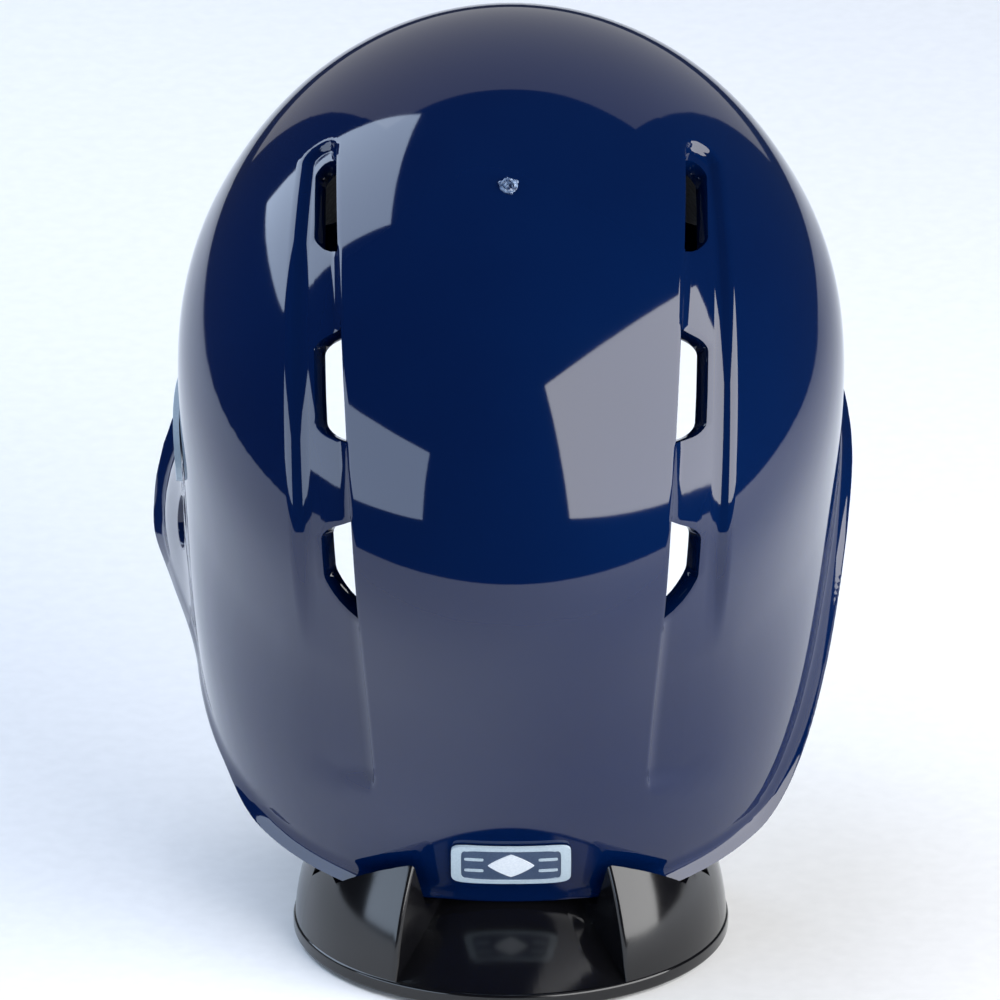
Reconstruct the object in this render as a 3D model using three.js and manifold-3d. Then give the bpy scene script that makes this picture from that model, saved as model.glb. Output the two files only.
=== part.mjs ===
// Display batting helmet with one ear flap, tilted back on a round black stand. Millimetres, +Z up,
// brim toward -Y, nape toward +Y, ear flap on +X. The origin is the centre of the stand's underside.
import * as THREE from 'three';
import { mergeVertices } from 'three/addons/utils/BufferGeometryUtils.js';
import { ConvexGeometry } from 'three/addons/geometries/ConvexGeometry.js';
import Module from 'manifold-3d';

// helmet shell, in its own frame: origin at the dome centre, z up through the crown
const halfWidth = 54, halfLength = 66, crownHeight = 51.5, skirtHeight = 178;
const wall = 3, channelDepth = 1.4, gap = 0.3;
const napeRimZ = -60, sideRimZ = -20, browRimZ = -16, flapRimZ = -57;
const flapFlare = 7, lipOut = 2.2, lipTall = 3.4;
const brimTipY = -93, brimRootY = -34, brimHalfWidth = 45, brimThick = 2.4, brimZ = -11.5;
const earHole = { y: -1, z: -37, halfY: 3.6, halfZ: 5 };
const ventDraft = 0.84;

// where the helmet sits on the stand
const tiltBack = THREE.MathUtils.degToRad(23.5), napeSeatY = 20.6, napeSeatZ = 13;

// stand
const footRadius = 35.5, footTop = 2.4, inFoot = 1.2, wallTaper = 0.061, wallCurve = 0.0126, standTop = 24;
const saddleSlope = 0.77, saddleStart = 3, rampSlope = 0.68, rampEdge = 34.7;
const recessHalfAngle = THREE.MathUtils.degToRad(32);
const riserTop = 14.5, riserBack = 8.5, bossRadius = 26, bossTop = 30, slack = 0.45;
const solePadRadius = 31, soleRecess = 0.5, soleProud = 0.5;

const wasm = await Module();
wasm.setup();

const clamp = (t) => Math.min(1, Math.max(0, t));
const step = (a, b, t) => { const s = clamp((t - a) / (b - a)); return s * s * (3 - 2 * s); };
const rad = THREE.MathUtils.degToRad;

// ---- solids -------------------------------------------------------------------------------------

// A closed body through rings of points; the ends are fanned to their middles, or joined when looped.
function loft(rings, looped = false) {
  const n = rings[0].length, points = rings.flat(), faces = [];
  const strips = looped ? rings.length : rings.length - 1;
  for (let i = 0; i < strips; i++)
    for (let j = 0; j < n; j++) {
      const a = i * n + j, b = i * n + (j + 1) % n;
      const c = ((i + 1) % rings.length) * n + j, d = ((i + 1) % rings.length) * n + (j + 1) % n;
      faces.push(a, b, d, a, d, c);
    }
  if (!looped)
    for (const [row, flip] of [[0, true], [rings.length - 1, false]]) {
      const middle = points.length;
      points.push(rings[row].reduce((s, p) => s.add(p), new THREE.Vector3()).divideScalar(n));
      for (let j = 0; j < n; j++) {
        const a = row * n + j, b = row * n + (j + 1) % n;
        faces.push(...(flip ? [b, a, middle] : [a, b, middle]));
      }
    }
  let volume = 0;
  for (let i = 0; i < faces.length; i += 3)
    volume += points[faces[i]].dot(points[faces[i + 1]].clone().cross(points[faces[i + 2]]));
  if (volume < 0)
    for (let i = 0; i < faces.length; i += 3) [faces[i + 1], faces[i + 2]] = [faces[i + 2], faces[i + 1]];
  const geometry = new THREE.BufferGeometry().setFromPoints(points);
  geometry.setIndex(faces);
  return geometry;
}

function solid(geometry) {
  const plain = geometry.clone();
  plain.deleteAttribute('normal');
  plain.deleteAttribute('uv');
  const merged = mergeVertices(plain, 1e-3);
  return new wasm.Manifold(new wasm.Mesh({
    numProp: 3,
    vertProperties: new Float32Array(merged.getAttribute('position').array),
    triVerts: new Uint32Array(merged.getIndex().array),
  }));
}

function geometryOf(made) {
  const mesh = made.getMesh();
  const geometry = new THREE.BufferGeometry();
  geometry.setAttribute('position', new THREE.BufferAttribute(new Float32Array(mesh.vertProperties), 3));
  geometry.setIndex(new THREE.BufferAttribute(new Uint32Array(mesh.triVerts), 1));
  return geometry;
}

// ---- the shell's form ---------------------------------------------------------------------------

const heightAt = (z, grow) => crownHeight + (skirtHeight - crownHeight) * step(20, -44, z) + grow;
// Level sections are ellipses up high and squarer toward the rim.
const squareness = (z) => 2 + 0.35 * step(-14, -62, z);

// How far the ear-flap side stands out beyond the plain dome.
const flare = (x, y, z) => (x > 0 ? flapFlare * step(15, 38, x) * step(12, -22, y) * step(-20, -54, z) : 0);

function flared(p) {
  p.x += flare(p.x, p.y, p.z);
  return p;
}

// A point from its share of the half width and its angle round the cross axis: 0 crown, 90 back.
function domePoint(share, degrees, grow = 0) {
  const s = Math.sin(rad(degrees)), c = Math.cos(rad(degrees));
  let low = 0, high = skirtHeight + 20;
  for (let i = 0; i < 44; i++) {
    const m = (low + high) / 2, n = squareness(m * c);
    const level = (Math.abs(share) ** n + Math.abs(m * s / (halfLength + grow)) ** n) ** (2 / n);
    const inside = level + (m * c / heightAt(m * c, grow)) ** 2 < 1;
    if (inside) low = m; else high = m;
  }
  return new THREE.Vector3(share * (halfWidth + grow), low * s, low * c);
}

// The same surface from two of its coordinates; axis is the one solved for.
function shellPoint(axis, sign, a, b, grow = 0) {
  const w = halfWidth + grow, l = halfLength + grow;
  if (axis === 'z') return new THREE.Vector3(a, b,
    (crownHeight + grow) * Math.sqrt(Math.max(0, 1 - (a / w) ** 2 - (b / l) ** 2)));
  const n = squareness(b), level = Math.max(0, 1 - (b / heightAt(b, grow)) ** 2) ** (n / 2);
  const solve = (known) => sign * Math.max(0, level - Math.abs(known) ** n) ** (1 / n);
  const at = axis === 'x' ? [w * solve(a / l), a, b] : [a, l * solve(a / w), b];
  return flared(new THREE.Vector3(...at));
}

// Edges of the two long channels beside the raised centre band.
const bandEdge = (deg) => 28 - 6 * (clamp(deg / 120)) ** 1.7;
const outerEdge = (deg) => 33.6 + 2.1 * Math.sin(Math.PI * clamp((deg + 12) / 120));
const archAt = -8.5, archScale = 0.75;

function channelCut(x, deg, z) {
  const inner = bandEdge(deg), outer = outerEdge(deg);
  const reach = (outer - inner) / 2, off = x - (inner + outer) / 2;
  const above = Math.max(0, (archAt - deg) * archScale);
  const fromInner = reach - Math.hypot(Math.min(0, off), above);
  const fromOuter = reach - Math.hypot(Math.max(0, off), above);
  const crisp = step(0, 1.4, fromOuter), soft = clamp((outer + 3 - x) / (outer + 3 - inner));
  const fade = step(84, 104, deg);
  const foot = step(-36.5 - 0.35 * (x - inner), -34.5 - 0.35 * (x - inner), z);
  return channelDepth * step(0, 0.9, fromInner) * (crisp * (1 - fade) + soft * fade) * (deg > 60 ? foot : 1);
}

// Lines across the shell follow the channel edges: 0 to 1 on the band, to 2 in a channel, to 3 at the side.
function lineX(w, deg) {
  const inner = bandEdge(Math.min(deg, 125)), outer = outerEdge(deg), t = Math.abs(w);
  const x = t < 1 ? t * inner : t < 2 ? inner + (t - 1) * (outer - inner)
    : outer + (halfWidth - outer) * Math.sin((t - 2) * Math.PI / 2);
  return Math.sign(w) * x;
}

function domeBody(lines, turns, grow, channels) {
  const rings = lines.map((w) => turns.map((deg) => {
    const share = lineX(w, channels ? deg : 0) / halfWidth;
    const p = domePoint(share, deg, grow);
    if (channels) {
      const cut = channelCut(Math.abs(p.x), deg, p.z);
      const out = new THREE.Vector3(p.x / halfWidth ** 2, p.y / halfLength ** 2,
        p.z / heightAt(p.z, 0) ** 2).normalize();
      if (deg > -20 && deg < 140) p.addScaledVector(out, -cut);
    }
    return flared(p);
  }));
  return loft(rings);
}

const span = (from, to, count) => Array.from({ length: count + 1 }, (_, i) => from + (to - from) * i / count);
const mirrored = (list) => [...list.slice().reverse().map((w) => -w), 0, ...list];

// ---- the rim ------------------------------------------------------------------------------------

// Height of the rim round the shell: 0 at the nape, 180 at the brow, positive on the ear-flap side.
function rimHeight(deg) {
  const t = Math.abs(deg);
  if (deg < 0) return napeRimZ + (sideRimZ - napeRimZ) * step(46, 92, t)
    + (browRimZ - sideRimZ) * step(90, 150, t);
  return napeRimZ + (flapRimZ - napeRimZ) * step(40, 100, t) + (browRimZ - flapRimZ) * step(107, 133, t);
}

// A point of the level section at height z, in the direction given from the nape.
function levelPoint(deg, z, grow = 0) {
  const n = squareness(z), si = Math.sin(rad(deg)), co = Math.cos(rad(deg));
  const k = Math.sqrt(1 - (z / heightAt(z, grow)) ** 2) / (Math.abs(si) ** n + Math.abs(co) ** n) ** (1 / n);
  return new THREE.Vector3((halfWidth + grow) * k * si, (halfLength + grow) * k * co, z);
}

const rimPoint = (deg) => flared(levelPoint(deg, rimHeight(deg)));

function rimFrame(deg) {
  const wrap = (d) => (d > 180 ? d - 360 : d < -180 ? d + 360 : d);
  const along = rimPoint(wrap(deg + 0.6)).sub(rimPoint(wrap(deg - 0.6))).normalize();
  const out = new THREE.Vector3(Math.sin(rad(deg)) / halfWidth, Math.cos(rad(deg)) / halfLength, 0);
  out.addScaledVector(along, -out.dot(along)).normalize();
  return { at: rimPoint(deg), out, up: new THREE.Vector3().crossVectors(along, out).normalize() };
}

const lipProfile = [[-0.5, lipTall + 0.4], [0.1, lipTall - 0.3], [0.45, 2], [0.95, 1.1], [lipOut, 0.35],
  [lipOut, -0.05], [1.1, -0.35], [-1.5, -0.35], [-1.9, 0], [-1.9, 2.4]];
const rimTurns = span(-180, 180, 110).slice(0, -1);
const lipBody = () => loft(rimTurns.map((deg) => {
  const { at, out, up } = rimFrame(deg);
  // narrower along the flap's rear edge, full at its front corner
  const rearEdge = step(46, 62, deg) * step(112, 96, deg), corner = step(100, 112, deg) * step(132, 118, deg);
  const more = 1 - 0.7 * rearEdge + 0.3 * corner;
  if (up.z < 0 && Math.abs(up.z) > 0.3) up.negate();
  return lipProfile.map(([o, d]) => at.clone()
    .addScaledVector(out, o > 0 ? o * more : o)
    .addScaledVector(up, d));
}), true);

// Everything below the rim.
const belowRim = () => loft([
  rimTurns.map((deg) => rimPoint(deg).multiply(new THREE.Vector3(0.3, 0.3, 0)).setZ(-60)),
  rimTurns.map((deg) => { const p = rimPoint(deg); return new THREE.Vector3(p.x * 0.8, p.y * 0.8, p.z); }),
  rimTurns.map((deg) => { const p = rimPoint(deg); return new THREE.Vector3(p.x * 1.5, p.y * 1.5, p.z); }),
  rimTurns.map((deg) => { const p = rimPoint(deg); return new THREE.Vector3(p.x * 1.5, p.y * 1.5, -190); }),
]);

// ---- brim ---------------------------------------------------------------------------------------

const brimTop = (x, y) => brimZ - 0.0028 * x * x - 0.1 * Math.max(0, -y - halfLength + 6);
function brimBody() {
  const half = brimThick / 2;
  const section = [[0, half], [0.55, half], [0.96, half], [0.992, half * 0.7], [1, 0], [0.992, -half * 0.7],
    [0.96, -half], [0.55, -half], [0, -half]];
  return loft(span(-84, 84, 42).map((deg) => {
    const s = Math.sin(rad(deg)), c = Math.cos(rad(deg));
    const edge = [brimHalfWidth * s, brimRootY + (brimTipY - brimRootY) * c ** 0.85];
    const root = [36 * s, brimRootY - 8 * c];
    return section.map(([v, h]) => {
      const x = root[0] + (edge[0] - root[0]) * v, y = root[1] + (edge[1] - root[1]) * v;
      return new THREE.Vector3(x, y, brimTop(x, y) + h - half);
    });
  }));
}

// ---- vents --------------------------------------------------------------------------------------

// Corners of the three vents in a channel: distance from the middle and angle from the crown.
const vents = [
  [[32.3, -4.6], [30.8, -7.4], [28.7, -6.2], [28.5, 20.5], [31, 18.4], [32.5, 13.6]],
  [[26.9, 36], [32.2, 40.4], [32.2, 56.8], [26.4, 58.8]],
  [[25.5, 70], [31.2, 75.8], [30.9, 84.4], [29, 88.4], [24.4, 91.2]],
];

function ventBody(corners, side) {
  const on = corners.map(([x, deg]) => domePoint(side * x / halfWidth, deg));
  const middle = on.reduce((s, p) => s.add(p), new THREE.Vector3()).divideScalar(on.length);
  const out = new THREE.Vector3(middle.x / halfWidth ** 2, middle.y / halfLength ** 2,
    middle.z / crownHeight ** 2).normalize();
  const points = [];
  for (const p of on)
    for (const [depth, size] of [[3, 1.05], [-7, ventDraft]])
      points.push(middle.clone().add(p.clone().sub(middle).multiplyScalar(size)).addScaledVector(out, depth));
  return new ConvexGeometry(points);
}

// ---- pads and plates: rounded patches that follow the shell -------------------------------------

// A ring round a patch's middle, at a share r of its half sizes; edge squares its corners.
const roundTurns = span(0, 360, 28).slice(0, -1);
const patchRing = (axis, sign, centre, half, edge) => (r, grow) => roundTurns.map((deg) => {
  const c = Math.cos(rad(deg)), s = Math.sin(rad(deg));
  const corner = r * (Math.abs(c) ** edge + Math.abs(s) ** edge) ** (-1 / edge);
  return shellPoint(axis, sign, centre[0] + half[0] * c * corner, centre[1] + half[1] * s * corner, grow);
});

// A pad on the inside, crowned toward the head.
function pad(axis, sign, centre, half, from, thick, edge = 5) {
  const ringAt = patchRing(axis, sign, centre, half, edge), shares = span(0, 1, 6).slice(1);
  const crowned = (r) => from + thick * (0.4 + 0.6 * (1 - r ** 6) ** 0.5);
  const back = shares.map((r) => ringAt(r, from));
  const front = shares.slice(0, -1).reverse().map((r) => ringAt(r * 0.985, crowned(r)));
  return loft([...back, ringAt(1, from + thick * 0.3), ...front]);
}

// A thin plate of even thickness on the outside.
function plate(axis, sign, centre, half, from, thick, edge) {
  const ringAt = patchRing(axis, sign, centre, half, edge), shares = [0.25, 0.5, 0.75, 1];
  const outer = shares.slice().reverse().map((r) => ringAt(r, from + thick));
  return loft([...shares.map((r) => ringAt(r, from)), ...outer]);
}

// ---- helmet -------------------------------------------------------------------------------------

const lines = [0.3, 0.6, 0.85, 1, 1.16, 1.45, 1.76, 2, 2.12, 2.3, 2.48, 2.64, 2.78, 2.9, 2.97];
const turns = [...span(-180, -90, 6), ...span(-80, -20, 7), -16, -13.4, -12.2, -11.2, -10, -8.5, -6,
  ...span(0, 100, 18), ...span(103, 127, 8), 133, 140, ...span(150, 172, 2)];
const outside = solid(domeBody(mirrored(lines), turns, 0, true));
const insideLines = [0.35, 0.7, 1, 1.5, 2, 2.2, 2.4, 2.6, 2.75, 2.88, 2.97];
const insideTurns = span(-180, 180, 44).slice(0, -1);
const inside = solid(domeBody(mirrored(insideLines), insideTurns, -wall, false));

const earBore = new THREE.CylinderGeometry(1, 1, 40, 28);
earBore.rotateZ(Math.PI / 2);
earBore.scale(1, earHole.halfY, earHole.halfZ).translate(50, earHole.y, earHole.z);

let shell = outside.subtract(solid(belowRim())).add(solid(lipBody())).add(solid(brimBody())).subtract(inside);
for (const corners of vents)
  for (const side of [-1, 1]) shell = shell.subtract(solid(ventBody(corners, side)));
shell = shell.subtract(solid(earBore));

const padFrom = -wall - 2 * gap;
const helmetNodes = {
  helmet_shell: geometryOf(shell),
  forehead_pad: pad('y', -1, [0, -2], [36, 11], padFrom, -7),
  crown_pad: pad('z', 1, [0, 2], [19, 27], padFrom, -6, 3),
  left_side_pad: pad('x', 1, [6, 4], [20, 11], padFrom, -6),
  right_side_pad: pad('x', -1, [6, 0], [20, 11], padFrom, -6),
  ear_pad: pad('x', 1, [2, -36], [12, 13], padFrom - 1.2, -4.5, 3),
  nape_pad: pad('y', 1, [0, -14], [18, 10], padFrom, -5.5),
  nape_badge: plate('y', 1, [0, -50.2], [9.7, 4.7], gap, 0.5, 9),
  side_emblem: plate('x', 1, [-3, -17], [11, 5.2], 3 * gap, 0.5, 2.2),
};

// ---- stand --------------------------------------------------------------------------------------

const lathe = (pairs, count = 72) => {
  const made = new THREE.LatheGeometry(pairs.map(([r, z]) => new THREE.Vector2(r, z)), count);
  made.rotateX(Math.PI / 2);
  return made;
};
const box = (x, y, z, dx, dy, dz) => new THREE.BoxGeometry(dx, dy, dz).translate(x, y, z);
// The nape's rim lands on its seat between the wedges.
const turned = new THREE.Matrix4().makeRotationX(-tiltBack);
const nape = rimPoint(0).applyMatrix4(turned);
const seated = new THREE.Matrix4().makeTranslation(0, napeSeatY - nape.y, napeSeatZ - nape.z)
  .multiply(turned);
const placed = (geometry) => geometry.applyMatrix4(seated);

const wallRadius = (z) => footRadius - 0.3 - wallTaper * (z - footTop) - wallCurve * (z - footTop) ** 2;
const drumWall = (top) => span(inFoot, top, 7).map((z) => [wallRadius(Math.max(z, footTop)), z]);
const drum = (top) => lathe([[0, inFoot], ...drumWall(top), [0, top]]);
const foot = lathe([[0, 0], [footRadius - 0.5, 0], [footRadius, 0.5], [footRadius, footTop - 0.3],
  [footRadius - 0.3, footTop], [0, footTop]]);
// The half space under a face that rises by slope per millimetre toward +Y or away from it.
const under = (slope, z0, y0) => {
  const tilt = Math.atan(slope);
  const g = new THREE.BoxGeometry(200, 200, 100).translate(0, 0, -50);
  g.rotateX(tilt);
  return g.translate(0, y0, z0);
};
// Seen from above, a sector round the opening between the two wedges, with its point on the stand's axis.
const sector = (halfAngle, z) => {
  const reach = 60, x = reach * Math.tan(halfAngle);
  const at = (px, py) => [new THREE.Vector3(px, py, z), new THREE.Vector3(px, py, 60)];
  return solid(new ConvexGeometry([...at(0, 0), ...at(x, reach), ...at(-x, reach)]));
};

const rearHalf = solid(box(0, 100 + riserBack, 50, 200, 200, 100));
const wedges = solid(drum(standTop)).intersect(solid(under(saddleSlope, footTop + saddleStart, 0)))
  .intersect(rearHalf).subtract(sector(recessHalfAngle, footTop - 0.5));
// A cone falls to the foot between the wedges, and reaches a little way into both of them.
const rampTop = footTop + rampSlope * rampEdge;
const ramp = solid(lathe([[0, inFoot], [rampEdge, inFoot], [rampEdge, footTop], [0, rampTop]]))
  .intersect(rearHalf).intersect(sector(recessHalfAngle + rad(2), 0));
const riser = solid(drum(riserTop)).subtract(rearHalf);

const rimLevel = napeRimZ - 0.35 - slack;
const prism = (grow, out, z0, z1) => loft([z0, z1].map((z) => span(-180, 180, 90).slice(0, -1).map((deg) => {
  const p = levelPoint(deg, napeRimZ, grow), size = 1 + out / Math.hypot(p.x, p.y);
  return new THREE.Vector3(p.x * size, p.y * size, z);
})));
const aboveRim = solid(placed(box(0, 0, rimLevel + 60, 300, 300, 120)));
const sweep = solid(placed(prism(0, lipOut + slack, rimLevel, 20)));
const envelope = solid(placed(domeBody(mirrored(insideLines), insideTurns, slack + 0.2, false)))
  .intersect(aboveRim);
const core = solid(placed(prism(-wall, -slack - 0.8, -130, 0)));
const boss = solid(lathe([[0, 1.3], [bossRadius + 4, 1.3], [bossRadius + 3, 9], [bossRadius, 14],
  [bossRadius - 4, bossTop - 3], [bossRadius - 7, bossTop], [0, bossTop]]));

const soleCut = solid(
  new THREE.CylinderGeometry(solePadRadius + gap, solePadRadius + gap, 2 * soleRecess + 0.2, 64)
    .rotateX(Math.PI / 2),
);
const stand = wedges.add(ramp).add(riser).subtract(sweep.add(envelope))
  .add(boss.intersect(core)).add(solid(foot)).subtract(soleCut);

const solePad = lathe([[0, -soleProud], [solePadRadius - 0.3, -soleProud], [solePadRadius, 0.3 - soleProud],
  [solePadRadius, soleRecess - gap], [0, soleRecess - gap]], 64);

// ---- assembly -----------------------------------------------------------------------------------

const paint = { color: 0x0a2a66, roughness: 0.08, metalness: 0 };
const foam = { color: 0x15161a, roughness: 0.95, metalness: 0 };
const looks = {
  helmet_shell: ['gloss_navy_abs', paint],
  nape_badge: ['printed_label', { color: 0x8fa3b5, roughness: 0.35, metalness: 0 }],
  side_emblem: ['printed_label', { color: 0x8fa3b5, roughness: 0.35, metalness: 0 }],
  stand_body: ['gloss_black_abs', { color: 0x0c0c0e, roughness: 0.12, metalness: 0 }],
  stand_sole_pad: ['black_felt', { color: 0x1b1b1d, roughness: 1, metalness: 0 }],
};

const group = new THREE.Group();
group.name = 'batting_helmet_on_stand';
const nodes = { ...helmetNodes };
for (const name in nodes) placed(nodes[name]);
nodes.stand_body = geometryOf(stand);
nodes.stand_sole_pad = solePad;
for (const [name, geometry] of Object.entries(nodes)) {
  const [material, values] = looks[name] ?? ['black_foam', foam];
  const mesh = new THREE.Mesh(geometry, new THREE.MeshStandardMaterial({ ...values, name: material }));
  mesh.name = name;
  mesh.position.z = soleProud;
  group.add(mesh);
}

export default group;
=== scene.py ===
# Display batting helmet on its stand: a glossy navy ABS shell with one ear flap, foam pads inside,
# a printed badge at the nape, and a moulded black stand. Form values are in millimetres.
import math
import bmesh
import bpy
from mathutils import Matrix, Vector
from mathutils.kdtree import KDTree


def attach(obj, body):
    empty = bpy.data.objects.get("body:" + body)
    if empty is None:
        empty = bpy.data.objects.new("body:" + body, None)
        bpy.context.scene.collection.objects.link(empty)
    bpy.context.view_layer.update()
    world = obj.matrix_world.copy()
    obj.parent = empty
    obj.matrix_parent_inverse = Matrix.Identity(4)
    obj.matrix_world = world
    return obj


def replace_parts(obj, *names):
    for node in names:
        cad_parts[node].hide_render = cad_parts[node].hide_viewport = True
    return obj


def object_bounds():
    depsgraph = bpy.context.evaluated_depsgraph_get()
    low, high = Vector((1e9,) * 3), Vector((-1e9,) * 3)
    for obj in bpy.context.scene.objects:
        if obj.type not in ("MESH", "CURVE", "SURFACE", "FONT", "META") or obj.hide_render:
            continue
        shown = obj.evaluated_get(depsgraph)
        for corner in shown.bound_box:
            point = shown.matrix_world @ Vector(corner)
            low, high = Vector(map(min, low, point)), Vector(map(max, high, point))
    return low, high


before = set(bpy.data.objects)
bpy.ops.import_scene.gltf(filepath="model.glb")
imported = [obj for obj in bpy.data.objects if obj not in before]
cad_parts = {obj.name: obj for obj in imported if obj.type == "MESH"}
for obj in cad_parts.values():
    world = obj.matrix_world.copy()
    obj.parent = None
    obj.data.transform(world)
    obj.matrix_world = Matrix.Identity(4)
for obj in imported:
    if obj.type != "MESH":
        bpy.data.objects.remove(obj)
cadLow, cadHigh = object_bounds()
scene = bpy.context.scene
mm = 0.001


def clamp(t):
    return min(1.0, max(0.0, t))


def smooth(a, b, t):
    s = clamp((t - a) / (b - a))
    return s * s * (3 - 2 * s)


def span(a, b, count):
    return [a + (b - a) * i / count for i in range(count + 1)]


def along(table, t):    # straight lines between (t, value) pairs
    for (t0, v0), (t1, v1) in zip(table, table[1:]):
        if t <= t1:
            return v0 + (v1 - v0) * clamp((t - t0) / (t1 - t0))
    return table[-1][1]


def keepMesh(bm, name, material, shade=40):    # a bmesh becomes a piece at the origin
    bmesh.ops.recalc_face_normals(bm, faces=bm.faces)
    mesh = bpy.data.meshes.new(name)
    bm.to_mesh(mesh)
    bm.free()
    piece = bpy.data.objects.new(name, mesh)
    scene.collection.objects.link(piece)
    mesh.materials.append(material)
    mesh.shade_smooth()
    if shade:
        mesh.set_sharp_from_angle(angle=math.radians(shade))
    return piece


def bake(piece, shade=40):    # its modifiers become its mesh
    graph = bpy.context.evaluated_depsgraph_get()
    mesh = bpy.data.meshes.new_from_object(piece.evaluated_get(graph), depsgraph=graph)
    piece.modifiers.clear()
    piece.data = mesh
    mesh.shade_smooth()
    if shade:
        mesh.set_sharp_from_angle(angle=math.radians(shade))
    return piece


def thicken(bm, twinPlace):    # a sheet gets a second face at the twins' places, and closed edges
    sheet, rims = list(bm.verts), [e.link_loops[0] for e in bm.edges if e.is_boundary]
    rims = [(loop.vert, loop.link_loop_next.vert) for loop in rims]
    copy = bmesh.ops.duplicate(bm, geom=bm.verts[:] + bm.edges[:] + bm.faces[:])
    twin = copy["vert_map"]
    bmesh.ops.reverse_faces(bm, faces=[g for g in copy["geom"] if isinstance(g, bmesh.types.BMFace)])
    for v in sheet:
        twin[v].co = twinPlace[v]
    for a, b in rims:
        bm.faces.new((b, a, twin[a], twin[b]))


def belong(piece, body, slot, *nodes):
    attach(piece, body)
    if nodes:
        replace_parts(piece, *nodes)
    return piece


def linear(hexCode):    # an sRGB hex colour as linear RGBA
    parts = [int(hexCode[i:i + 2], 16) / 255 for i in (1, 3, 5)]
    return [p / 12.92 if p <= 0.04045 else ((p + 0.055) / 1.055) ** 2.4 for p in parts] + [1.0]


def grey(v):
    return [v, v, v, 1.0]


def addNode(tree, kind, settings, links):    # a node with its values, its two colour stops and its links
    node = tree.nodes.new(kind)
    for key, value in settings.items():
        if key == "stops":
            for end, (spot, colour) in zip(node.color_ramp.elements, value):
                end.position = spot
                end.color = colour
        else:
            node.inputs[key].default_value = value
    for socket, source in links.items():
        tree.links.new(source, node.inputs[socket])
    return node


def newMaterial(name, settings):
    material = bpy.data.materials.new(name)
    material.use_nodes = True
    tree = material.node_tree
    surface = tree.nodes["Principled BSDF"]
    for key, value in settings.items():
        surface.inputs[key].default_value = value
    at = addNode(tree, "ShaderNodeTexCoord", {}, {}).outputs["Object"]
    return material, tree, surface, at


def mouldedAbs(name, base, shade, roughness, peelSize, peelDepth, hazeSize):
    # injection-moulded ABS with a polished tool: deep gloss, a faint orange peel, slight haze from handling
    material, tree, surface, at = newMaterial(name, {"IOR": 1.53})
    haze = addNode(tree, "ShaderNodeTexNoise", {"Scale": 1 / (hazeSize * mm), "Detail": 4.0}, {"Vector": at})
    peel = addNode(tree, "ShaderNodeTexNoise", {"Scale": 1 / (peelSize * mm), "Detail": 1.0}, {"Vector": at})
    dust = addNode(tree, "ShaderNodeTexNoise", {"Scale": 1 / (0.25 * mm), "Detail": 2.0}, {"Vector": at})
    tint = addNode(tree, "ShaderNodeValToRGB", {"stops": [(0.3, linear(base)), (0.75, linear(shade))]},
                   {"Fac": haze.outputs["Fac"]})
    dulled = [(0.35, grey(roughness)), (0.7, grey(roughness * 1.8))]
    dull = addNode(tree, "ShaderNodeValToRGB", {"stops": dulled}, {"Fac": haze.outputs["Fac"]})
    wave = addNode(tree, "ShaderNodeBump", {"Strength": 1.0, "Distance": peelDepth * mm},
                   {"Height": peel.outputs["Fac"]})
    fine = addNode(tree, "ShaderNodeBump", {"Strength": 0.12, "Distance": 0.002 * mm},
                   {"Height": dust.outputs["Fac"], "Normal": wave.outputs["Normal"]})
    tree.links.new(tint.outputs["Color"], surface.inputs["Base Color"])
    tree.links.new(dull.outputs["Color"], surface.inputs["Roughness"])
    tree.links.new(fine.outputs["Normal"], surface.inputs["Normal"])
    return material


def tornAbsPaintedGlint(name, base, light):
    # ABS twisted off at the gate, with a broken face that glints; its pale tone is a painted highlight for
    # those glints
    material, tree, surface, at = newMaterial(name, {"IOR": 1.53, "Roughness": 0.2})
    crack = addNode(tree, "ShaderNodeTexNoise", {"Scale": 1 / (0.8 * mm), "Detail": 3.0}, {"Vector": at})
    # the pale stop is a painted highlight where the torn face catches the light
    tint = addNode(tree, "ShaderNodeValToRGB", {"stops": [(0.38, linear(base)), (0.62, linear(light))]},
                   {"Fac": crack.outputs["Fac"]})
    bump = addNode(tree, "ShaderNodeBump", {"Strength": 0.6, "Distance": 0.15 * mm},
                   {"Height": crack.outputs["Fac"]})
    tree.links.new(tint.outputs["Color"], surface.inputs["Base Color"])
    tree.links.new(bump.outputs["Normal"], surface.inputs["Normal"])
    return material


def cellFoam(name, base, light):
    # closed-cell EVA foam: matt, with a skin of fine cells and shallow dimples
    material, tree, surface, at = newMaterial(name, {"IOR": 1.45, "Sheen Weight": 0.15,
                                                     "Sheen Roughness": 0.6})
    cells = addNode(tree, "ShaderNodeTexVoronoi", {"Scale": 1 / (0.7 * mm)}, {"Vector": at})
    cloud = addNode(tree, "ShaderNodeTexNoise", {"Scale": 1 / (5 * mm), "Detail": 3.0}, {"Vector": at})
    tint = addNode(tree, "ShaderNodeValToRGB", {"stops": [(0.3, linear(base)), (0.8, linear(light))]},
                   {"Fac": cloud.outputs["Fac"]})
    dull = addNode(tree, "ShaderNodeValToRGB", {"stops": [(0.0, grey(0.8)), (0.6, grey(0.95))]},
                   {"Fac": cells.outputs["Distance"]})
    bump = addNode(tree, "ShaderNodeBump", {"Strength": 0.7, "Distance": 0.12 * mm},
                   {"Height": cells.outputs["Distance"]})
    tree.links.new(tint.outputs["Color"], surface.inputs["Base Color"])
    tree.links.new(dull.outputs["Color"], surface.inputs["Roughness"])
    tree.links.new(bump.outputs["Normal"], surface.inputs["Normal"])
    return material


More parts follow.
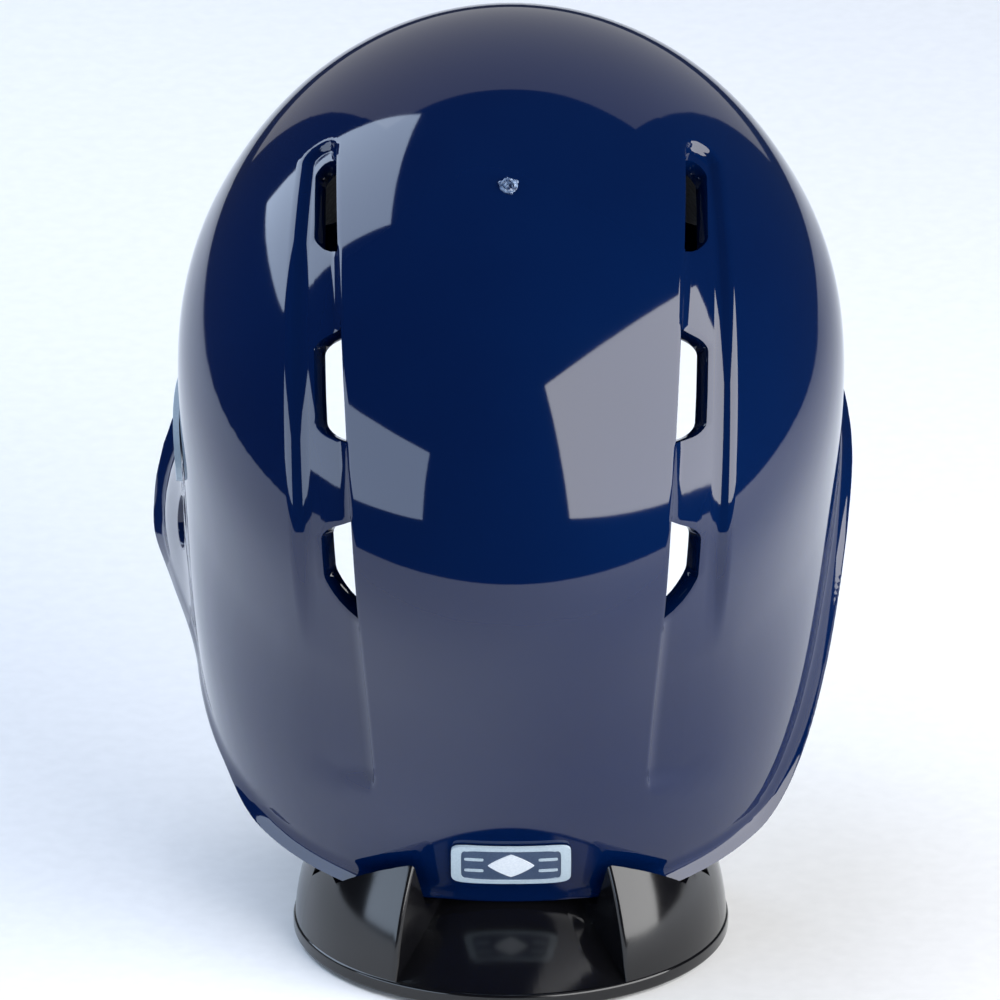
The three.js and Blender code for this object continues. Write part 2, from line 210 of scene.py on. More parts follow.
def printedFilm(name, base, light):
    # screen-printed vinyl film: satin, with an ink grain too fine to read as dots
    material, tree, surface, at = newMaterial(name, {"IOR": 1.5, "Coat Weight": 0.4, "Coat Roughness": 0.15})
    grain = addNode(tree, "ShaderNodeTexNoise", {"Scale": 1 / (0.35 * mm), "Detail": 3.0}, {"Vector": at})
    tint = addNode(tree, "ShaderNodeValToRGB", {"stops": [(0.3, linear(base)), (0.7, linear(light))]},
                   {"Fac": grain.outputs["Fac"]})
    dull = addNode(tree, "ShaderNodeValToRGB", {"stops": [(0.3, grey(0.28)), (0.7, grey(0.4))]},
                   {"Fac": grain.outputs["Fac"]})
    bump = addNode(tree, "ShaderNodeBump", {"Strength": 0.2, "Distance": 0.01 * mm},
                   {"Height": grain.outputs["Fac"]})
    tree.links.new(tint.outputs["Color"], surface.inputs["Base Color"])
    tree.links.new(dull.outputs["Color"], surface.inputs["Roughness"])
    tree.links.new(bump.outputs["Normal"], surface.inputs["Normal"])
    return material


def pressedFelt(name, base, light):
    # pressed wool felt: fibres drawn coarser than life, about 0.3 mm, so that they show
    material, tree, surface, at = newMaterial(name, {"Sheen Weight": 0.5, "Roughness": 0.95})
    fibres = addNode(tree, "ShaderNodeTexNoise", {"Scale": 1 / (0.3 * mm), "Detail": 6.0, "Distortion": 2.0},
                     {"Vector": at})
    tint = addNode(tree, "ShaderNodeValToRGB", {"stops": [(0.3, linear(base)), (0.7, linear(light))]},
                   {"Fac": fibres.outputs["Fac"]})
    bump = addNode(tree, "ShaderNodeBump", {"Strength": 0.8, "Distance": 0.1 * mm},
                   {"Height": fibres.outputs["Fac"]})
    tree.links.new(tint.outputs["Color"], surface.inputs["Base Color"])
    tree.links.new(bump.outputs["Normal"], surface.inputs["Normal"])
    return material


navyAbs = mouldedAbs("navy gloss ABS", "#011339", "#01173f", 0.035, 7.0, 0.006, 45)
blackAbs = mouldedAbs("black gloss ABS", "#08080a", "#0d0d10", 0.09, 5.0, 0.012, 20)
# the gate mark's pale colour is a painted highlight for its glints
paintedGlintAbs = tornAbsPaintedGlint("navy ABS with painted glint", "#12264c", "#8196b4")
blackFoam = cellFoam("black EVA foam", "#0b0c0f", "#15171b")
paleInk = printedFilm("pale grey printed film", "#a9bac6", "#b7c6d0")
greyInk = printedFilm("slate grey printed film", "#3b4a63", "#47566f")
whiteInk = printedFilm("white printed film", "#d5dde6", "#e4eaf0")
blackFelt = pressedFelt("black pressed felt", "#0c0c0d", "#1b1b1e")
print("materials made")


shell = dict(halfWidth=54, halfLength=66, crown=51.5, skirt=178, wall=3.0, channel=1.4,
             napeRim=-60, sideRim=-20, browRim=-16, flapRim=-57, flare=7.0, lipOut=2.2, lipTall=3.4,
             bandHalf=28, archAt=-8.5, archScale=0.75, innerWall=0.9, outerWall=1.4, tilt=23.5,
             napeSeat=(20.6, 13.5), ventCorner=1.9)


def crownToSkirt(z, grow=0.0):
    return shell["crown"] + (shell["skirt"] - shell["crown"]) * smooth(20, -44, z) + grow


def squareness(z):
    return 2 + 0.35 * smooth(-14, -62, z)


def flared(p):    # the ear-flap side stands out beyond the plain dome
    if p.x > 0:
        p.x += shell["flare"] * smooth(15, 38, p.x) * smooth(12, -22, p.y) * smooth(-20, -54, p.z)
    return p


def outOfDome(p):    # over 1 outside, under 1 inside
    n = squareness(p.z)
    level = abs(p.x / shell["halfWidth"]) ** n + abs(p.y / shell["halfLength"]) ** n
    return level ** (2 / n) + (p.z / crownToSkirt(p.z)) ** 2


def reach(start, way):    # the dome's surface from start along way
    low, high = 0.0, 220.0
    for _ in range(34):
        middle = (low + high) / 2
        if outOfDome(start + way * middle) < 1:
            low = middle
        else:
            high = middle
    return start + way * low


def domePoint(x, degrees):    # distance from the middle, and angle back from the crown
    t = math.radians(degrees)
    return reach(Vector((x, 0, 0)), Vector((0, math.sin(t), math.cos(t))))


def mapPoint(u):    # a point of the flat map: its length is the angle from the crown
    angle = max(u.length, 1e-9)
    flat = u / angle * math.sin(angle)
    return reach(Vector((0, 0, 0)), Vector((flat.x, flat.y, math.cos(angle))))


def onMap(p):
    flat = Vector((p.x, p.y))
    return flat.normalized() * math.atan2(flat.length, p.z)


def sidePoint(axis, sign, a, b, grow=0.0):    # the surface from two of its coordinates
    w, l = shell["halfWidth"] + grow, shell["halfLength"] + grow
    if axis == "z":
        return Vector((a, b, (shell["crown"] + grow) * math.sqrt(max(0, 1 - (a / w) ** 2 - (b / l) ** 2))))
    n = squareness(b)
    level = max(0, 1 - (b / crownToSkirt(b, grow)) ** 2) ** (n / 2)
    if axis == "x":
        return flared(Vector((sign * w * max(0, level - abs(a / l) ** n) ** (1 / n), a, b)))
    return flared(Vector((a, sign * l * max(0, level - abs(a / w) ** n) ** (1 / n), b)))


def rimHeight(deg):    # 0 at the nape, 180 at the brow, positive on the ear-flap side
    t = abs(deg)
    if deg < 0:
        return (shell["napeRim"] + (shell["sideRim"] - shell["napeRim"]) * smooth(46, 92, t)
                + (shell["browRim"] - shell["sideRim"]) * smooth(90, 150, t))
    return (shell["napeRim"] + (shell["flapRim"] - shell["napeRim"]) * smooth(40, 100, t)
            + (shell["browRim"] - shell["flapRim"]) * smooth(107, 133, t))


def levelPoint(deg, z, grow=0.0):
    n, s, c = squareness(z), math.sin(math.radians(deg)), math.cos(math.radians(deg))
    k = math.sqrt(1 - (z / crownToSkirt(z, grow)) ** 2) / (abs(s) ** n + abs(c) ** n) ** (1 / n)
    return Vector(((shell["halfWidth"] + grow) * k * s, (shell["halfLength"] + grow) * k * c, z))


def rimPoint(deg):
    return levelPoint(deg, rimHeight(deg))


def roundTurn(p):    # which part of the rim a point stands over, in degrees
    return math.degrees(math.atan2(p.x / shell["halfWidth"], p.y / shell["halfLength"]))


turned = Matrix.Rotation(-math.radians(shell["tilt"]), 4, "X")
napeAt = turned @ rimPoint(0)
seated = Matrix.Translation((0, shell["napeSeat"][0] - napeAt.y, shell["napeSeat"][1] - napeAt.z)) @ turned


def place(bm):    # from the helmet's frame in millimetres to the row frame in metres
    bm.transform(Matrix.Scale(mm, 4) @ seated)
    return bm


def bandEdge(deg):
    return shell["bandHalf"] - 6 * clamp(deg / 120) ** 1.7


def outerEdge(deg):
    return 33.6 + 2.1 * math.sin(math.pi * clamp((deg + 12) / 120))


def ventWidth(deg):
    return along([(-10, 4.2), (10, 4.4), (50, 5.6), (80, 6.1)], deg)


def channelCut(x, deg, z):
    inner, outer = bandEdge(deg), outerEdge(deg)
    half, off = (outer - inner) / 2, x - (inner + outer) / 2
    above = max(0, (shell["archAt"] - deg) * shell["archScale"])
    fromInner = half - math.hypot(min(0, off), above)
    fromOuter = half - math.hypot(max(0, off), above)
    fade = smooth(84, 104, deg)
    soft = smooth(outer + 3, inner - 1, x)
    foot = smooth(-37.6 - 0.35 * (x - inner), -33.6 - 0.35 * (x - inner), z) if deg > 60 else 1
    return (shell["channel"] * smooth(0, shell["innerWall"], fromInner)
            * (smooth(0, shell["outerWall"], fromOuter) * (1 - fade) + soft * fade) * foot)


def lineX(w, deg):    # lines along the shell: to 1 on the band, to 2 in the channel
    inner, outer, t = bandEdge(deg), outerEdge(deg), abs(w)
    stops = [(0, 0), (1, inner), (1.2, inner + shell["innerWall"]), (1.6, inner + ventWidth(deg)),
             (1.8, outer - shell["outerWall"]), (2, outer)]
    return math.copysign(along(stops, t), w)


# where each vent starts and ends along its inner and outer side, in degrees from the crown
vents = [((-5.0, -7.2, -6.0), (20.5, 19.2, 16.0)), ((36, 38.4, 39.6), (58.8, 58.0, 57.4)),
         ((70, 73, 74.8), (91.2, 88.6, 85.6))]


rimStrip = 3.4    # degrees of finer rows beside the rim


def ventLine(marks, w, way):    # its outer corner is round
    t = clamp((abs(w) - 1) / 0.6)
    turn = clamp((t - 0.66) / 0.34)
    plain = along([(0, marks[0]), (0.6, marks[1]), (1, marks[2])], t)
    return plain + way * shell["ventCorner"] * (1 - math.sqrt(1 - turn * turn))


def rowAngles(w):    # angles of every row on one line, from the brow's rim to the nape's
    def ends(low, high):
        for _ in range(26):
            middle = (low + high) / 2
            p = domePoint(lineX(w, middle), middle)
            if p.z > rimHeight(roundTurn(p)):
                low = middle
            else:
                high = middle
        return low
    first, last = ends(-20, -150), ends(100, 165)
    knots = [(first, 0), (first + rimStrip, 7), (-14, 40), (ventLine(vents[0][0], w, 1), 16)]
    for i, rows in zip(range(3), (20, 18, 18)):
        if i:
            knots.append((ventLine(vents[i][0], w, 1), 12))
        knots.append((ventLine(vents[i][1], w, -1), rows))
    knots += [(112, 16), (124, 24), (last - rimStrip, 6), (last, 9)]
    angles = [first]
    for deg, rows in knots[1:]:
        angles += span(angles[-1], deg, rows)[1:]
    return angles


def lipWidth(deg):    # none under the brim, slight behind the ear, full at the flap's front corner
    neck = 0.2 + 0.8 * smooth(10, 30, abs(deg))    # it fades out behind the neck
    if deg < 0:
        return smooth(150, 128, -deg) * neck
    return (1 - 0.7 * smooth(46, 62, deg) * smooth(112, 96, deg)
            + 0.3 * smooth(100, 112, deg) * smooth(132, 118, deg)) * smooth(150, 134, deg) * neck


def buildShell():
    half = [*span(0, 0.9, 14)[1:], 0.945, 0.975, 1, 1.07, 1.135, 1.2, 1.31, 1.42, 1.48, 1.53,
            1.57, 1.59, 1.6, 1.7, 1.8, 1.865, 1.93, 2]
    side = [0.012, 0.03, *span(0.05, 0.93, 34), 0.945, 0.957, 0.966, 0.974, 0.981, 0.987, 0.993, 1]
    positive = half + [2 + t for t in side]
    lines = [-w for w in reversed(positive)] + [0] + positive
    rows = len(rowAngles(0))
    points, corner = {}, dict(front=142, rear=52)
    for w in [v for v in lines if abs(v) <= 2]:
        for j, deg in enumerate(rowAngles(w)):
            points[w, j] = domePoint(lineX(w, deg), deg)
    for sign in (-1, 1):    # each side is filled between the channel's outer line and the rim
        edge = [onMap(points[sign * 2, j]) for j in range(rows)]
        run = [0.0]
        for a, b in zip(edge, edge[1:]):
            run.append(run[-1] + (b - a).length)
        run = [r / run[-1] for r in run]
        first, final = roundTurn(points[sign * 2, 0]), roundTurn(points[sign * 2, rows - 1])
        front, rear = sign * corner["front"], sign * corner["rear"]
        rim = [onMap(rimPoint(front + (rear - front) * s)) for s in run]
        for t in side:
            top = onMap(rimPoint(first + (front - first) * t))
            end = onMap(rimPoint(final + (rear - final) * t))
            for j, s in enumerate(run):
                u = edge[j] * (1 - t) + rim[j] * t + top * (1 - s) + end * s
                u -= ((edge[0] * (1 - t) + rim[0] * t) * (1 - s) + (edge[-1] * (1 - t) + rim[-1] * t) * s)
                points[sign * (2 + t), j] = mapPoint(u)
    perDegree = 20
    rimTree = KDTree(360 * perDegree)
    for i in range(360 * perDegree):
        rimTree.insert(rimPoint(i / perDegree - 180), i)
    rimTree.balance()
    bm = bmesh.new()
    bmesh.ops.create_grid(bm, x_segments=len(lines) - 1, y_segments=rows - 1, size=1)
    hole = dict(y=-1, z=-37, halfY=3.6, halfZ=5.0, rings=4, blend=11)
    grid = {}
    for v in bm.verts:
        i, j = round((v.co.x + 1) / 2 * (len(lines) - 1)), round((v.co.y + 1) / 2 * (rows - 1))
        grid[i, j] = v
    onFlap = [(i, j) for i, j in grid if lines[i] > 2.05]
    centre = min(onFlap, key=lambda k: math.hypot(points[lines[k[0]], k[1]].y - hole["y"],
                                                  points[lines[k[0]], k[1]].z - hole["z"]))
    ringOf, inside = {}, {}
    for (i, j), v in grid.items():
        p = points[lines[i], j].copy()
        di, dj = i - centre[0], j - centre[1]
        ring = max(abs(di), abs(dj))
        ringOf[v] = ring
        if ring <= hole["blend"]:    # the grid closes in round the ear hole
            turn = math.atan2(-di, dj)
            grow = ring / hole["rings"] if ring <= hole["rings"] else 1 + 0.2 * (ring - hole["rings"])
            aim = Vector((hole["y"] + hole["halfY"] * grow * math.cos(turn),
                          hole["z"] + hole["halfZ"] * grow * math.sin(turn)))
            pull = smooth(hole["blend"], hole["rings"] + 1, ring)
            y, z = p.y + (aim.x - p.y) * pull, p.z + (aim.y - p.z) * pull
            p = reach(Vector((0, y, z)), Vector((1, 0, 0)))
        deg = math.degrees(math.atan2(p.y, p.z))
        cut = channelCut(abs(p.x), deg, p.z) if -30 < deg < 145 else 0
        out = Vector((p.x / shell["halfWidth"] ** 2, p.y / shell["halfLength"] ** 2,
                      p.z / crownToSkirt(p.z) ** 2)).normalized()
        _, at, gap = rimTree.find(p)
        level = Vector((out.x, out.y, 0)).normalized()
        up = clamp(1 - gap / shell["lipTall"])
        lift = shell["lipOut"] * lipWidth(at / perDegree - 180) * up ** 2
        wayOut = flared(p.copy()) - p
        v.co = p - out * cut + wayOut + level * lift
        inside[v] = p - out * (cut + shell["wall"]) + wayOut
    ventRows = []
    marks = rowAngles(1)
    for begin, end in vents:
        ventRows.append((marks.index(min(marks, key=lambda a: abs(a - begin[0]))),
                         marks.index(min(marks, key=lambda a: abs(a - end[0])))))
    lost = []
    index = {v: k for k, v in grid.items()}
    for face in bm.faces:
        ks = [index[v] for v in face.verts]
        ws, js = [abs(lines[k[0]]) for k in ks], [k[1] for k in ks]
        if min(ws) > 0.999 and max(ws) < 1.601 and any(min(js) >= a and max(js) <= b for a, b in ventRows):
            lost.append(face)
        if max(ringOf[v] for v in face.verts) <= hole["rings"]:
            lost.append(face)
    bmesh.ops.delete(bm, geom=lost, context="FACES")
    thicken(bm, inside)
    piece = keepMesh(place(bm), "moulded_shell", navyAbs, 0)
    edges = piece.modifiers.new("edges", "BEVEL")
    edges.width, edges.segments = 0.35 * mm, 2
    edges.limit_method, edges.angle_limit = "ANGLE", math.radians(62)
    return bake(piece, 50)


shellPiece = belong(buildShell(), "helmet", "gloss_navy_abs", "helmet_shell")
print("shell made:", len(shellPiece.data.polygons), "faces")


brim = dict(rootHalf=36, rootY=-34, rootBow=8, tipY=-93, halfWidth=45, top=-11.5, thick=2.4,
            bow=0.0028, droop=0.1, droopFrom=60, sweep=84)


def buildBrim():
    bm = bmesh.new()
    bmesh.ops.create_grid(bm, x_segments=64, y_segments=26, size=1)
    below = {}
    for v in bm.verts:
        turn, t = math.radians(v.co.x * brim["sweep"]), (v.co.y + 1) / 2
        root = Vector((brim["rootHalf"] * math.sin(turn), brim["rootY"] - brim["rootBow"] * math.cos(turn)))
        edge = Vector((brim["halfWidth"] * math.sin(turn),
                       brim["rootY"] + (brim["tipY"] - brim["rootY"]) * math.cos(turn) ** 0.85))
        at = root.lerp(edge, t)
        z = brim["top"] - brim["bow"] * at.x ** 2 - brim["droop"] * max(0, -at.y - brim["droopFrom"])
        v.co = at.x, at.y, z
        below[v] = Vector((at.x, at.y, z - brim["thick"]))
    thicken(bm, below)
    piece = keepMesh(place(bm), "brim", navyAbs, 0)
    edges = piece.modifiers.new("rolled edge", "BEVEL")
    edges.width, edges.segments = 0.9 * mm, 4
    edges.limit_method, edges.angle_limit = "ANGLE", math.radians(50)
    return bake(piece, 50)


belong(buildBrim(), "helmet", "gloss_navy_abs")
print("brim made")


pads = dict(crossing=(28, 18), fill=0.8, items=[
    ("forehead_pad", "y", -1, (0, -2), (36, 11), -3.6, -7, (-0.34, 0.34)),
    ("crown_pad", "z", 1, (0, 2), (19, 27), -3.6, -6, (-0.4, 0.4)),
    ("left_side_pad", "x", 1, (6, 4), (20, 11), -3.6, -6, (0,)),
    ("right_side_pad", "x", -1, (6, 0), (20, 11), -3.6, -6, (0,)),
    ("ear_pad", "x", 1, (2, -36), (12, 13), -4.8, -4.5, ()),
    ("nape_pad", "y", 1, (0, -14), (18, 10), -3.6, -5.5, (0,))])


def roundedSquare(a, b, edge):    # a square's point pulled in to a squared oval
    share, turn = max(abs(a), abs(b)), math.atan2(b, a)
    c, s = math.cos(turn), math.sin(turn)
    share *= (abs(c) ** edge + abs(s) ** edge) ** (-1 / edge)
    return share * c, share * s


def buildPad(name, axis, sign, centre, half, start, thick, grooves):
    bm = bmesh.new()
    bmesh.ops.create_grid(bm, x_segments=pads["crossing"][0], y_segments=pads["crossing"][1], size=1)
    crowned = {}
    for v in bm.verts:
        a, b = v.co.x, v.co.y
        share = max(abs(a), abs(b))
        x, y = roundedSquare(a, b, 3 if name in ("crown_pad", "ear_pad") else 5)
        pressed = max([1 - smooth(0.02, 0.13, abs(a - g)) for g in grooves] or [0])
        rise = (0.35 + 0.65 * math.sqrt(1 - share ** 6)) * (1 - 0.45 * pressed * (1 - share ** 8))
        tuck = 0.94 if share > 0.99 else 0.985
        v.co = sidePoint(axis, sign, centre[0] + half[0] * x, centre[1] + half[1] * y, start)
        crowned[v] = sidePoint(axis, sign, centre[0] + half[0] * x * tuck, centre[1] + half[1] * y * tuck,
                               start + thick * rise)
    thicken(bm, crowned)
    piece = keepMesh(place(bm), name.replace("pad", "foam"), blackFoam, 0)
    soft = piece.modifiers.new("soft edges", "SUBSURF")
    soft.levels = soft.render_levels = 1
    return bake(piece, 0)


for name, *form in pads["items"]:
    belong(buildPad(name, *form), "helmet", "black_foam", name)
print("pads made")


prints = dict(badgeAt=(0, -50.2), badgeHalf=(9.7, 4.7), emblemAt=(-3, -17), emblemHalf=(11, 5.2), low=0.25)


def buildPlate(name, spot, offset, half, edge, rise, material, hollow=0.0):
    axis, sign, centre = spot
    bm = bmesh.new()
    bmesh.ops.create_grid(bm, x_segments=36, y_segments=20, size=1)
    back, share = {}, {}
    for v in bm.verts:
        share[v] = max(abs(v.co.x), abs(v.co.y))
        x, y = roundedSquare(v.co.x, v.co.y, edge)
        a, b = centre[0] + offset[0] + half[0] * x, centre[1] + offset[1] + half[1] * y
        back[v] = sidePoint(axis, sign, a, b, prints["low"])
        v.co = sidePoint(axis, sign, a, b, rise)
    if hollow:
        inner = [f for f in bm.faces if max(share[v] for v in f.verts) < hollow]
        bmesh.ops.delete(bm, geom=inner, context="FACES")
        back = {v: back[v] for v in bm.verts}
    thicken(bm, back)
    return belong(keepMesh(place(bm), name, material, 35), "helmet", "printed_label")


nape, flap = ("y", 1, prints["badgeAt"]), ("x", 1, prints["emblemAt"])
wide, tall = prints["badgeHalf"]
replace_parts(buildPlate("badge_border", nape, (0, 0), (wide, tall), 9, 0.75, paleInk, 0.88), "nape_badge")
buildPlate("badge_field", nape, (0, 0), (wide * 0.9, tall * 0.9), 9, 0.6, greyInk)
buildPlate("badge_diamond", nape, (0, 0), (tall * 0.8, tall * 0.62), 1.15, 0.7, whiteInk)
for side in (-1, 1):
    for row in (-0.3, 0.3):
        buildPlate(f"badge_bar_{'left' if side < 0 else 'right'}_{'low' if row < 0 else 'high'}", nape,
                   (side * wide * 0.62, row * tall), (wide * 0.16, tall * 0.07), 6, 0.7, paleInk)
wide, tall = prints["emblemHalf"]
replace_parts(buildPlate("emblem_ring", flap, (0, 0), (wide, tall), 2.2, 1.25, paleInk, 0.84), "side_emblem")
buildPlate("emblem_field", flap, (0, 0), (wide * 0.86, tall * 0.86), 2.2, 1.05, greyInk)
for name, spot, size in (("low", -0.36, 0.3), ("middle", 0, 0.44), ("high", 0.36, 0.3)):
    buildPlate(f"emblem_bar_{name}", flap, (spot * wide, 0), (wide * 0.09, tall * size), 4, 1.2, whiteInk)
print("badge and emblem made")


gate = dict(x=0.4, degrees=11.2, ring=1.425, core=1.5, lump=0.42, rise=0.5, rough=0.3)


def buildGateMark():
    at = domePoint(gate["x"], gate["degrees"])
    bm = bmesh.new()
    bmesh.ops.create_icosphere(bm, subdivisions=4, radius=gate["core"])
    for v in bm.verts:    # the torn stub of the runner
        x, y, z = v.co
        torn = math.sin(x * 7.3) * math.cos(y * 6.1 + 1.2) + 0.6 * math.sin(x * 11 + y * 9)
        v.co.z = z * gate["rise"] + gate["rough"] * torn * max(0, z)
    for k in range(3):    # three small lumps round it
        turn = math.radians(35 + 125 * k)
        lump = bmesh.ops.create_icosphere(bm, subdivisions=3, radius=gate["lump"])
        centre = Vector((math.cos(turn), math.sin(turn), 0)) * gate["ring"]
        bmesh.ops.translate(bm, verts=lump["verts"], vec=centre)
    out = Vector((at.x / shell["halfWidth"] ** 2, at.y / shell["halfLength"] ** 2,
                  at.z / shell["crown"] ** 2))
    bm.transform(Matrix.Translation(at) @ out.to_track_quat("Z", "Y").to_matrix().to_4x4())
    # its pale material is a painted highlight for the glints on the stub
    return keepMesh(place(bm), "gate_mark", paintedGlintAbs, 60)


belong(buildGateMark(), "helmet", "gloss_navy_abs")
print("gate mark made")


stand = dict(foot=35.5, footTop=2.4, footEdge=0.5, top=24, taper=0.061, curve=0.0126, inset=0.3, inFoot=1.2,
             saddle=(0.77, 5.4), ramp=(0.68, 34.7), recessHalf=32, rampReach=2, riserTop=14.5, back=8.5,
             sole=(31.3, 0.5), lift=0.5, slack=0.45, bossSlack=0.8, segments=180, ridge=0.8,
             boss=[(0, 1.3), (30, 1.3), (29, 9), (27.6, 12), (26, 14), (24, 20.5), (22.6, 25.5),
                   (21.9, 27), (20.8, 28.7), (19, 29.7), (17, 30), (0, 30)])


def lathe(profile):    # (radius, height) pairs, turned into a solid
    bm = bmesh.new()
    points = [bm.verts.new((r, 0, z)) for r, z in profile]
    lines = [bm.edges.new(pair) for pair in zip(points, points[1:])]
    bmesh.ops.spin(bm, geom=points + lines, axis=(0, 0, 1), cent=(0, 0, 0), dvec=(0, 0, 0),
                   steps=stand["segments"], angle=math.tau, use_merge=True)
    bmesh.ops.remove_doubles(bm, verts=bm.verts, dist=1e-4)
    return bm


def cutAway(bm, point, normal):    # removes what the normal points into, and closes the cut
    cut = bmesh.ops.bisect_plane(bm, geom=bm.verts[:] + bm.edges[:] + bm.faces[:], dist=1e-4,
                                 plane_co=point, plane_no=normal, clear_outer=True)
    bmesh.ops.holes_fill(bm, edges=[g for g in cut["geom_cut"] if isinstance(g, bmesh.types.BMEdge)], sides=0)
    return bm


def stood(bm, name):
    bm.transform(Matrix.Scale(mm, 4) @ Matrix.Translation((0, 0, stand["lift"])))
    return keepMesh(bm, name, blackAbs, 0)


def combine(piece, other, how):
    step = piece.modifiers.new(how.lower(), "BOOLEAN")
    step.operation, step.solver, step.object = how, "EXACT", other
    bake(piece, 0)
    bpy.data.objects.remove(other)


def drum(levels):    # the stand's round wall, as a solid
    wall = [(stand["foot"] - stand["inset"] - stand["taper"] * (z - stand["footTop"])
             - stand["curve"] * (z - stand["footTop"]) ** 2, z) for z in levels]
    return lathe([(0, levels[0]), *wall, (0, levels[-1])])


def cutSector(bm, degrees, side, inwards):    # one side of the recess, seen from above
    turn = math.radians(degrees)
    cutAway(bm, (0, 0, 0), Vector((side * math.cos(turn), -math.sin(turn), 0)) * inwards)


def softened(bm, width):    # rounds the edges that show behind the helmet
    bm.normal_update()
    edges = [e for e in bm.edges if len(e.link_faces) == 2 and e.calc_face_angle() > math.radians(28)
             and all(v.co.y > stand["back"] + 4 and v.co.z > stand["inFoot"] + 0.1 for v in e.verts)]
    bmesh.ops.bevel(bm, geom=edges, offset=width, offset_type="OFFSET", segments=4, profile=0.5,
                    affect="EDGES", material=-1)
    return bm


def rimPrism(low, high, grow, out, bulge):    # the shell's outline carried up its own axis
    levels = span(low, high, 5)
    bm = bmesh.new()
    bmesh.ops.create_grid(bm, x_segments=120, y_segments=5, size=1)
    for v in bm.verts:
        deg, z = v.co.x * 180, levels[round((v.co.y + 1) / 2 * 5)]
        base = levelPoint(deg, shell["napeRim"], grow)
        size = 1 + out / base.xy.length
        if bulge:
            swell = levelPoint(deg, max(z, shell["napeRim"]), 0.65)
            size = max(size, swell.xy.length / base.xy.length)
        v.co = base.x * size, base.y * size, z
    bmesh.ops.remove_doubles(bm, verts=bm.verts, dist=1e-3)
    bmesh.ops.holes_fill(bm, edges=[e for e in bm.edges if e.is_boundary], sides=0)
    return keepMesh(place(bm), "prism", blackAbs, 0)


def buildStand():
    slope, start = stand["saddle"]
    fall, edge = stand["ramp"]
    back, top, low = stand["back"], stand["footTop"], stand["inFoot"]
    ramp = lathe([(0, low), (edge, low), (edge, top), (0, top + fall * edge)])    # a cone
    cutAway(ramp, (0, back, 0), (0, -1, 0))
    for side in (-1, 1):
        cutSector(ramp, stand["recessHalf"] + stand["rampReach"], side, 1)
    piece = stood(ramp, "moulded_stand")
    for side in (-1, 1):
        wedge = cutAway(drum(span(low, stand["top"], 12)), (0, 0, start), Vector((0, -slope, 1)).normalized())
        cutAway(wedge, (0, back, 0), (0, -1, 0))
        cutSector(wedge, stand["recessHalf"], side, -1)
        combine(piece, stood(softened(wedge, stand["ridge"]), "wedge"), "UNION")
    riser = cutAway(drum(span(low, stand["riserTop"], 7)), (0, back, 0), (0, 1, 0))
    combine(piece, stood(riser, "riser"), "UNION")
    helmetRoom = rimPrism(shell["napeRim"] - 0.35 - stand["slack"], 20, 0,
                          shell["lipOut"] + stand["slack"], True)
    combine(piece, helmetRoom, "DIFFERENCE")
    boss = stood(lathe(stand["boss"]), "boss")
    insideShell = rimPrism(-130, 0, -shell["wall"], -stand["slack"] - stand["bossSlack"], False)
    combine(boss, insideShell, "INTERSECT")
    combine(piece, boss, "UNION")
    hollow, deep = stand["sole"]
    r = stand["footEdge"]
    out, quarter = stand["foot"] - r, span(0, math.pi / 2, 4)
    lower = [(out + r * math.sin(a), r - r * math.cos(a)) for a in quarter]
    upper = [(out + r * math.cos(a), top - r + r * math.sin(a)) for a in quarter]
    foot = [(0, deep), (hollow, deep), (hollow, 0), *lower, *upper, (0, top)]
    combine(piece, stood(lathe(foot), "foot"), "UNION")
    piece.data.set_sharp_from_angle(angle=math.radians(30))
    even = piece.modifiers.new("flat faces stay flat", "WEIGHTED_NORMAL")
    even.keep_sharp = True
    return bake(piece, 0)


belong(buildStand(), "stand", "gloss_black_abs", "stand_body")
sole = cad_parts["stand_sole_pad"]
for materialSlot in sole.material_slots:
    materialSlot.material = blackFelt
print("stand made")


middle = Vector((0, 0, 0.085))    # what the lights face


def addLight(name, at, size, power, colour="#ffffff", along=(1, 0, 0)):    # it faces the helmet
    data = bpy.data.lights.new(name, "AREA")
    data.shape, data.size, data.size_y, data.energy = "RECTANGLE", size[0], size[1], power
    data.color = linear(colour)[:3]
    light = bpy.data.objects.new(name, data)
    scene.collection.objects.link(light)
    back = (Vector(at) - middle).normalized()
    side = (Vector(along) - back * Vector(along).dot(back)).normalized()
    turn = Matrix((side, back.cross(side), back)).transposed().to_4x4()
    light.matrix_world = Matrix.Translation(at) @ turn
    return light


floor = dict(radius=0.62, middle=(0, -0.38), below=0.0002)


def floorSheet():
    # matt white card: a soft pale ground that takes the shadow and gives no reflection
    material, tree, surface, at = newMaterial("matt white card", {"Roughness": 0.9})
    tooth = addNode(tree, "ShaderNodeTexNoise", {"Scale": 1 / (3 * mm), "Detail": 3.0}, {"Vector": at})
    whites = [(0.3, linear("#f2f2f2")), (0.7, linear("#f6f6f6"))]
    tint = addNode(tree, "ShaderNodeValToRGB", {"stops": whites}, {"Fac": tooth.outputs["Fac"]})
    tree.links.new(tint.outputs["Color"], surface.inputs["Base Color"])
    bm = bmesh.new()
    bmesh.ops.create_circle(bm, cap_ends=True, segments=96, radius=floor["radius"])
    bm.transform(Matrix.Translation((*floor["middle"], cadLow.z - floor["below"])))
    keepMesh(bm, "floor", material, 0)


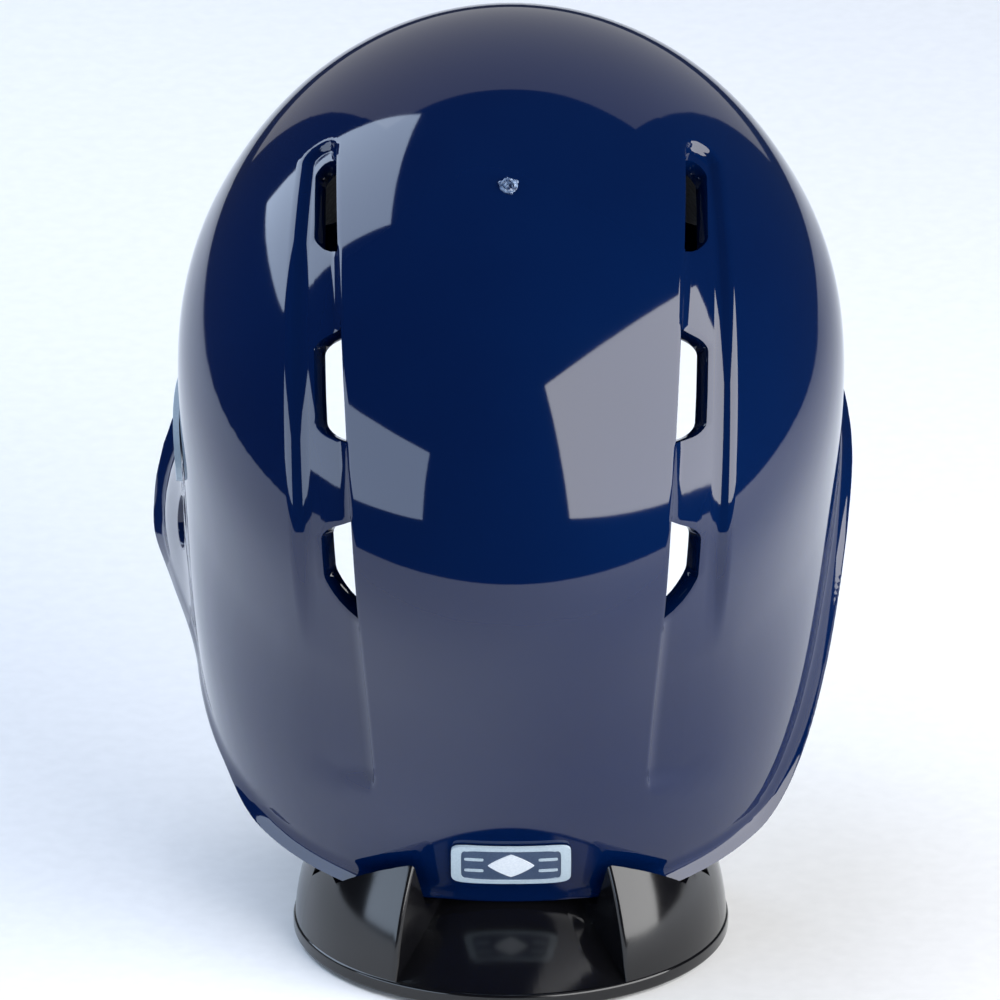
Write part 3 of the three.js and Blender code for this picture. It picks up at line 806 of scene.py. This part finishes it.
floorSheet()
world = bpy.data.worlds.new("studio")
scene.world = world
world.use_nodes = True
tree = world.node_tree
tree.nodes.clear()
rays = addNode(tree, "ShaderNodeLightPath", {}, {}).outputs["Is Camera Ray"]
room = addNode(tree, "ShaderNodeBackground", {"Color": linear("#8f97a6"), "Strength": 0.12}, {}).outputs[0]
paper = addNode(tree, "ShaderNodeBackground", {"Color": linear("#ffffff"), "Strength": 1.0}, {}).outputs[0]
seen = addNode(tree, "ShaderNodeMixShader", {}, {0: rays, 1: room, 2: paper}).outputs[0]
addNode(tree, "ShaderNodeOutputWorld", {}, {"Surface": seen})


def toward(elevation, azimuth, distance):    # azimuth from +Y toward +X
    e, a = math.radians(elevation), math.radians(azimuth)
    return Vector((math.sin(a) * math.cos(e), math.cos(a) * math.cos(e), math.sin(e))) * distance


window = "#d4e7ff"
addLight("high left window", (0.575, -0.354, 0.615), (0.59, 0.48), 4.4, window, (-0.61, 0.18, 0.77))
addLight("low left window", (0.69, 0.42, 0.20), (0.80, 0.37), 3.6, window, (-0.5, 0.85, 0))
addLight("right box", (-0.547, 0.382, 0.335), (0.95, 0.69), 12.0, "#ffffff", (-0.63, -0.78, -0.08))
addLight("back card", (0, -1.1, 0.62), (1.3, 1.2), 2.2)
wash = addLight("floor wash", (0.4, -0.15, 1.4), (0.9, 0.9), 7.6, "#e4ecff")
wash.visible_glossy = False    # it lights the floor and shows in no reflection
scene.view_settings.view_transform = "Standard"

cameraSet = dict(elevation=22, distance=3.0, frameWidth=0.16207, aim=(0.00178, -0.00433, 0.0732))
camera = bpy.data.objects.new("camera", bpy.data.cameras.new("camera"))
scene.collection.objects.link(camera)
scene.camera = camera
aim = Vector(cameraSet["aim"])
camera.location = aim + toward(cameraSet["elevation"], 0, cameraSet["distance"])
camera.rotation_euler = (aim - camera.location).to_track_quat("-Z", "Y").to_euler()
camera.data.sensor_width = 36
camera.data.lens = camera.data.sensor_width * cameraSet["distance"] / cameraSet["frameWidth"]
camera.data.clip_end = 20
